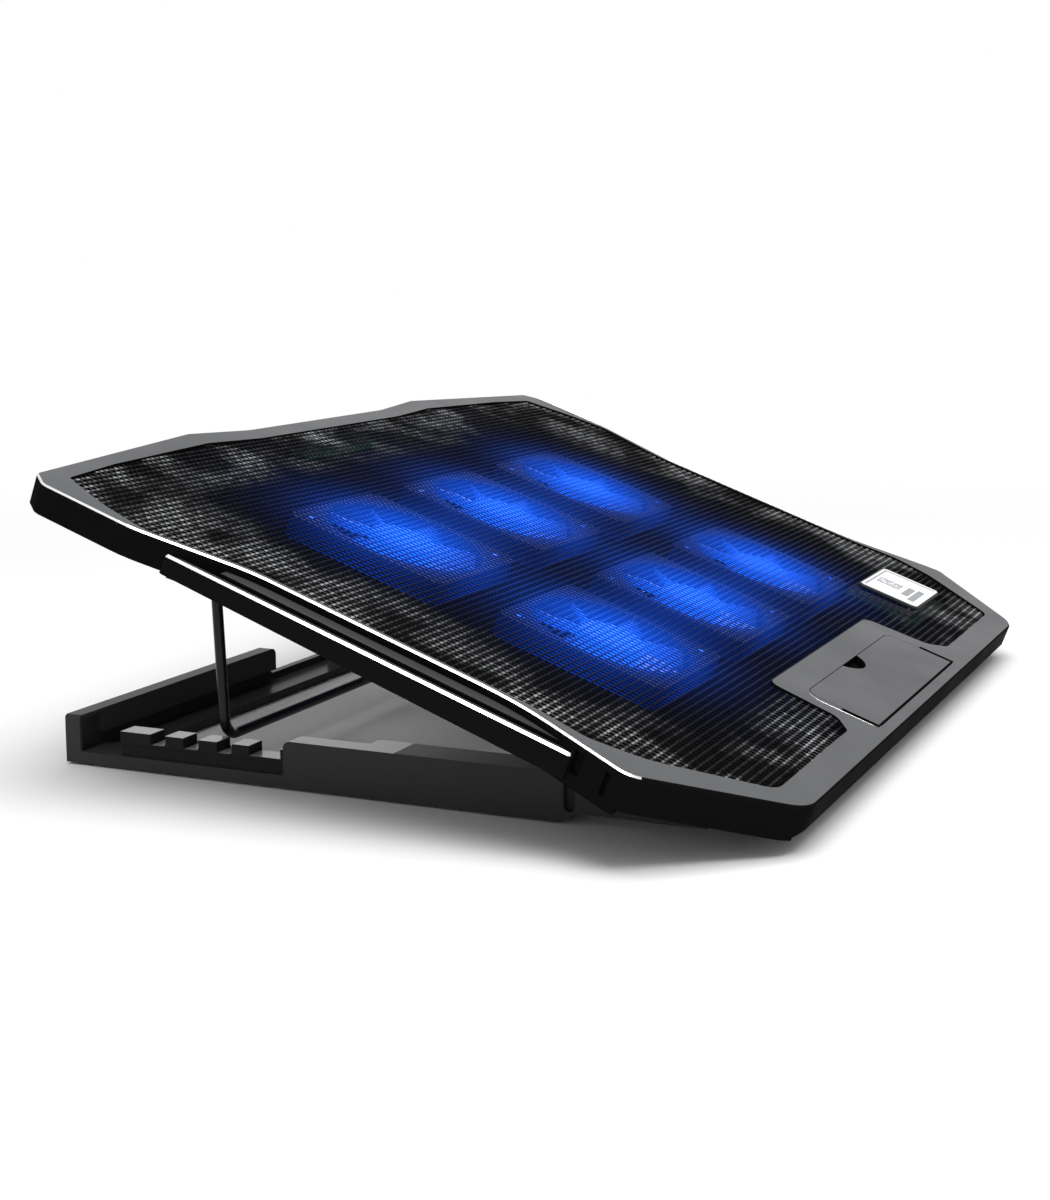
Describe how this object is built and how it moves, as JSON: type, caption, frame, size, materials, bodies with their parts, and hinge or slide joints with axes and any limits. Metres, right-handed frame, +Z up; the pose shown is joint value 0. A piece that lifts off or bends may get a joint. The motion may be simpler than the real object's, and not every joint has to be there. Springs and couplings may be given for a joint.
{
  "type": "laptop cooling pad",
  "caption": "Vented laptop stand: a tilting deck with mesh top, fans, small display and front stop flap, hinged on a low base and held up by a wire prop.",
  "frame": {"origin": "on the floor, under the middle of the bounding box", "axes": "+X to the right seen from the user, +Y to the rear, +Z up"},
  "size_m": [0.4308, 0.287, 0.1177],
  "materials": {
    "base_plastic": "satin",
    "rack_plastic": "satin",
    "pad_rubber": "matte",
    "pin_steel": "satin",
    "bezel_plastic": "satin",
    "housing_plastic": "satin",
    "bar_plastic": "gloss",
    "mesh_steel": "satin",
    "display_white": "gloss",
    "display_lens": "gloss",
    "display_crystal": "gloss",
    "board_laminate": "satin",
    "socket_steel": "satin",
    "screw_steel": "satin",
    "lamp_blue": "gloss",
    "fan_plastic": "satin",
    "rotor_plastic": "gloss",
    "flap_plastic": "satin",
    "wire_steel": "satin"
  },
  "bodies": {
    "base": {"base_frame": "base_plastic", "rack_left": "rack_plastic", "rack_right": "rack_plastic", "base_pads": "pad_rubber", "hinge_pin_left": "pin_steel", "hinge_pin_right": "pin_steel"},
    "deck": {"bezel": "bezel_plastic", "lower_housing": "housing_plastic", "side_bar_left": "bar_plastic", "side_bar_right": "bar_plastic", "mesh_panel": "mesh_steel", "display_frame": "display_white", "display_glass": "display_lens", "display_cell": "display_crystal", "control_board": "board_laminate", "rear_board": "board_laminate", "usb_socket_left": "socket_steel", "usb_socket_right": "socket_steel", "case_screws": "screw_steel", "fan_screws": "screw_steel", "fan_leds": "lamp_blue", "fan_frame_1": "fan_plastic", "fan_frame_2": "fan_plastic", "fan_frame_3": "fan_plastic", "fan_frame_4": "fan_plastic", "fan_frame_5": "fan_plastic", "fan_frame_6": "fan_plastic"},
    "prop": {"prop_wire": "wire_steel"},
    "flap": {"flap": "flap_plastic"},
    "dial": {"speed_dial": "housing_plastic"},
    "rotor_1": {"rotor_1": "rotor_plastic"},
    "rotor_2": {"rotor_2": "rotor_plastic"},
    "rotor_3": {"rotor_3": "rotor_plastic"},
    "rotor_4": {"rotor_4": "rotor_plastic"},
    "rotor_5": {"rotor_5": "rotor_plastic"},
    "rotor_6": {"rotor_6": "rotor_plastic"}
  },
  "joints": [
    {"name": "deck_tilt", "type": "hinge", "parent": "base", "child": "deck", "pos_m": [0, -0.0958, 0.0104], "axis": [1, 0, 0], "range_deg": [-20.1, 0]},
    {"name": "prop_swing", "type": "hinge", "parent": "deck", "child": "prop", "pos_m": [0, 0.08409, 0.08305], "axis": [1, 0, 0], "range_deg": [-67.36, 0]},
    {"name": "flap_hinge", "type": "hinge", "parent": "deck", "child": "flap", "pos_m": [0, -0.13675, 0.01724], "axis": [1, 0, 0], "range_deg": [0, 90]},
    {"name": "speed_dial_turn", "type": "hinge", "parent": "deck", "child": "dial", "pos_m": [0, 0.12616, 0.10951], "axis": [0, -0.3437, 0.9391], "range_deg": [0, 270]},
    {"name": "fan_spin_1", "type": "hinge", "parent": "deck", "child": "rotor_1", "pos_m": [-0.0919, -0.04348, 0.04637], "axis": [0, -0.3437, 0.9391], "continuous": true},
    {"name": "fan_spin_2", "type": "hinge", "parent": "deck", "child": "rotor_2", "pos_m": [0, -0.04348, 0.04637], "axis": [0, -0.3437, 0.9391], "continuous": true},
    {"name": "fan_spin_3", "type": "hinge", "parent": "deck", "child": "rotor_3", "pos_m": [0.0919, -0.04348, 0.04637], "axis": [0, -0.3437, 0.9391], "continuous": true},
    {"name": "fan_spin_4", "type": "hinge", "parent": "deck", "child": "rotor_4", "pos_m": [-0.0919, 0.04198, 0.07765], "axis": [0, -0.3437, 0.9391], "continuous": true},
    {"name": "fan_spin_5", "type": "hinge", "parent": "deck", "child": "rotor_5", "pos_m": [0, 0.04198, 0.07765], "axis": [0, -0.3437, 0.9391], "continuous": true},
    {"name": "fan_spin_6", "type": "hinge", "parent": "deck", "child": "rotor_6", "pos_m": [0.0919, 0.04198, 0.07765], "axis": [0, -0.3437, 0.9391], "continuous": true}
  ],
  "couplings": [
    {"joint": "prop_swing", "follows": "deck_tilt", "ratio": 3.3504}
  ]
}
